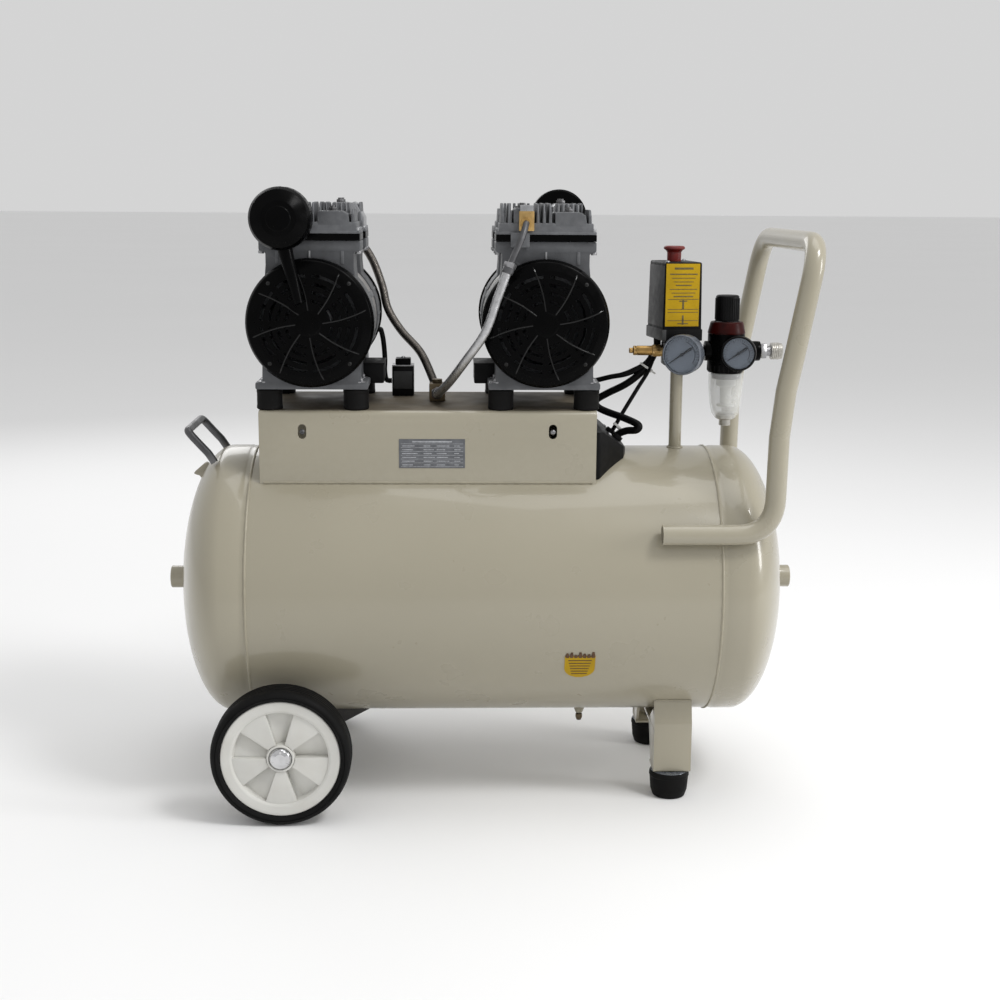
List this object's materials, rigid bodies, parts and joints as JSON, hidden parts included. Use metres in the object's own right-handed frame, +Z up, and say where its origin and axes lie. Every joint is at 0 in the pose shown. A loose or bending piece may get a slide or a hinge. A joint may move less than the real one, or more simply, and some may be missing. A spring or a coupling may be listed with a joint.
{
  "type": "air compressor",
  "caption": "Portable oil-free air compressor: double-ended pumps on a platform over a horizontal tank, with push handle, wheels, pressure switch, gauges and regulator.",
  "frame": {"origin": "on the floor, under the middle of the part's bounding box", "axes": "+Z up, +X along the tank towards the outlet and push handle, -Y the side with the gauges' dials"},
  "size_m": [0.704, 0.3466, 0.6644],
  "materials": {
    "cream_paint": "gloss",
    "black_steel": "satin",
    "black_rubber": "matte",
    "tyre": "matte",
    "off_white_plastic": "satin",
    "chrome": "polished",
    "cast_aluminium": "cast",
    "gloss_black_plastic": "gloss",
    "black_plastic": "satin",
    "steel": "machined",
    "brass": "machined",
    "red_plastic": "gloss",
    "clear_plastic": "clear",
    "steel_braid": "braided"
  },
  "bodies": {
    "frame": {"tank": "cream_paint", "pump_platform": "cream_paint", "push_handle": "cream_paint", "foot_bracket": "cream_paint", "manifold": "cream_paint", "lift_handle": "black_steel", "axle_bracket": "black_steel", "rubber_foot_front": "black_rubber", "rubber_foot_rear": "black_rubber", "mount_left_front_a": "black_rubber", "mount_left_front_b": "black_rubber", "mount_left_rear_a": "black_rubber", "mount_left_rear_b": "black_rubber", "mount_right_front_a": "black_rubber", "mount_right_front_b": "black_rubber", "mount_right_rear_a": "black_rubber", "mount_right_rear_b": "black_rubber", "axle": "chrome", "crankcase_left_front": "cast_aluminium", "crankcase_left_rear": "cast_aluminium", "crankcase_right_front": "cast_aluminium", "crankcase_right_rear": "cast_aluminium", "head_left_front": "cast_aluminium", "head_left_rear": "cast_aluminium", "head_right_front": "cast_aluminium", "head_right_rear": "cast_aluminium", "fan_cover_left_front": "gloss_black_plastic", "fan_cover_left_rear": "gloss_black_plastic", "fan_cover_right_front": "gloss_black_plastic", "fan_cover_right_rear": "gloss_black_plastic", "intake_filter_left": "black_plastic", "intake_filter_right": "black_plastic", "pressure_switch": "black_plastic", "tank_gauge": "black_plastic", "outlet_gauge": "black_plastic", "regulator_body": "black_plastic", "junction_box": "black_plastic", "solenoid_valve": "black_plastic", "pump_cable_left": "black_plastic", "wiring_harness": "black_plastic", "stator_left": "steel", "stator_right": "steel", "safety_valve": "brass", "check_valve": "brass", "filter_bowl": "clear_plastic", "discharge_hose_left": "steel_braid", "discharge_hose_right": "steel_braid"},
    "front_wheel": {"wheel_front": "off_white_plastic", "tyre_front": "tyre"},
    "rear_wheel": {"wheel_rear": "off_white_plastic", "tyre_rear": "tyre"},
    "left_rotor": {"rotor_left": "steel"},
    "right_rotor": {"rotor_right": "steel"},
    "switch_knob": {"switch_knob": "red_plastic"},
    "regulator_knob": {"regulator_knob": "black_plastic"},
    "tank_needle": {"tank_gauge_needle": "red_plastic"},
    "outlet_needle": {"outlet_gauge_needle": "red_plastic"},
    "coupler_sleeve": {"coupler_sleeve": "chrome"},
    "safety_pin": {"safety_valve_pin": "steel"},
    "drain_valve": {"drain_valve": "brass"}
  },
  "joints": [
    {"name": "front_wheel_spin", "type": "hinge", "parent": "frame", "child": "front_wheel", "pos_m": [-0.215, -0.15365, 0.0742], "axis": [0, 1, 0], "continuous": true},
    {"name": "rear_wheel_spin", "type": "hinge", "parent": "frame", "child": "rear_wheel", "pos_m": [-0.215, 0.15365, 0.0742], "axis": [0, 1, 0], "continuous": true},
    {"name": "left_rotor_spin", "type": "hinge", "parent": "frame", "child": "left_rotor", "pos_m": [-0.183, 0, 0.5246], "axis": [0, 1, 0], "continuous": true},
    {"name": "right_rotor_spin", "type": "hinge", "parent": "frame", "child": "right_rotor", "pos_m": [0.0636, 0, 0.5246], "axis": [0, 1, 0], "continuous": true},
    {"name": "switch_knob_press", "type": "slide", "parent": "frame", "child": "switch_knob", "axis": [0, 0, 1], "range_m": [-0.006, 0]},
    {"name": "regulator_knob_turn", "type": "hinge", "parent": "frame", "child": "regulator_knob", "pos_m": [0.271, 0, 0.5358], "axis": [0, 0, 1], "range_deg": [-540, 540]},
    {"name": "tank_needle_sweep", "type": "hinge", "parent": "frame", "child": "tank_needle", "pos_m": [0.2118, -0.06, 0.4895], "axis": [0.4695, 0.8829, 0], "range_deg": [0, 250], "stiffness_Nm_per_rad": 0.0005},
    {"name": "outlet_needle_sweep", "type": "hinge", "parent": "frame", "child": "outlet_needle", "pos_m": [0.2775, -0.04, 0.489], "axis": [0.309, 0.9511, 0], "range_deg": [0, 250], "stiffness_Nm_per_rad": 0.0005},
    {"name": "coupler_sleeve_pull", "type": "slide", "parent": "frame", "child": "coupler_sleeve", "axis": [-1, 0, 0], "range_m": [0, 0.004], "stiffness_N_per_m": 400},
    {"name": "safety_pin_pull", "type": "slide", "parent": "frame", "child": "safety_pin", "axis": [-1, 0, 0], "range_m": [0, 0.003], "stiffness_N_per_m": 500},
    {"name": "drain_valve_turn", "type": "hinge", "parent": "frame", "child": "drain_valve", "pos_m": [0.1135, 0, 0.0615], "axis": [0, 0, 1], "range_deg": [0, 360]}
  ]
}
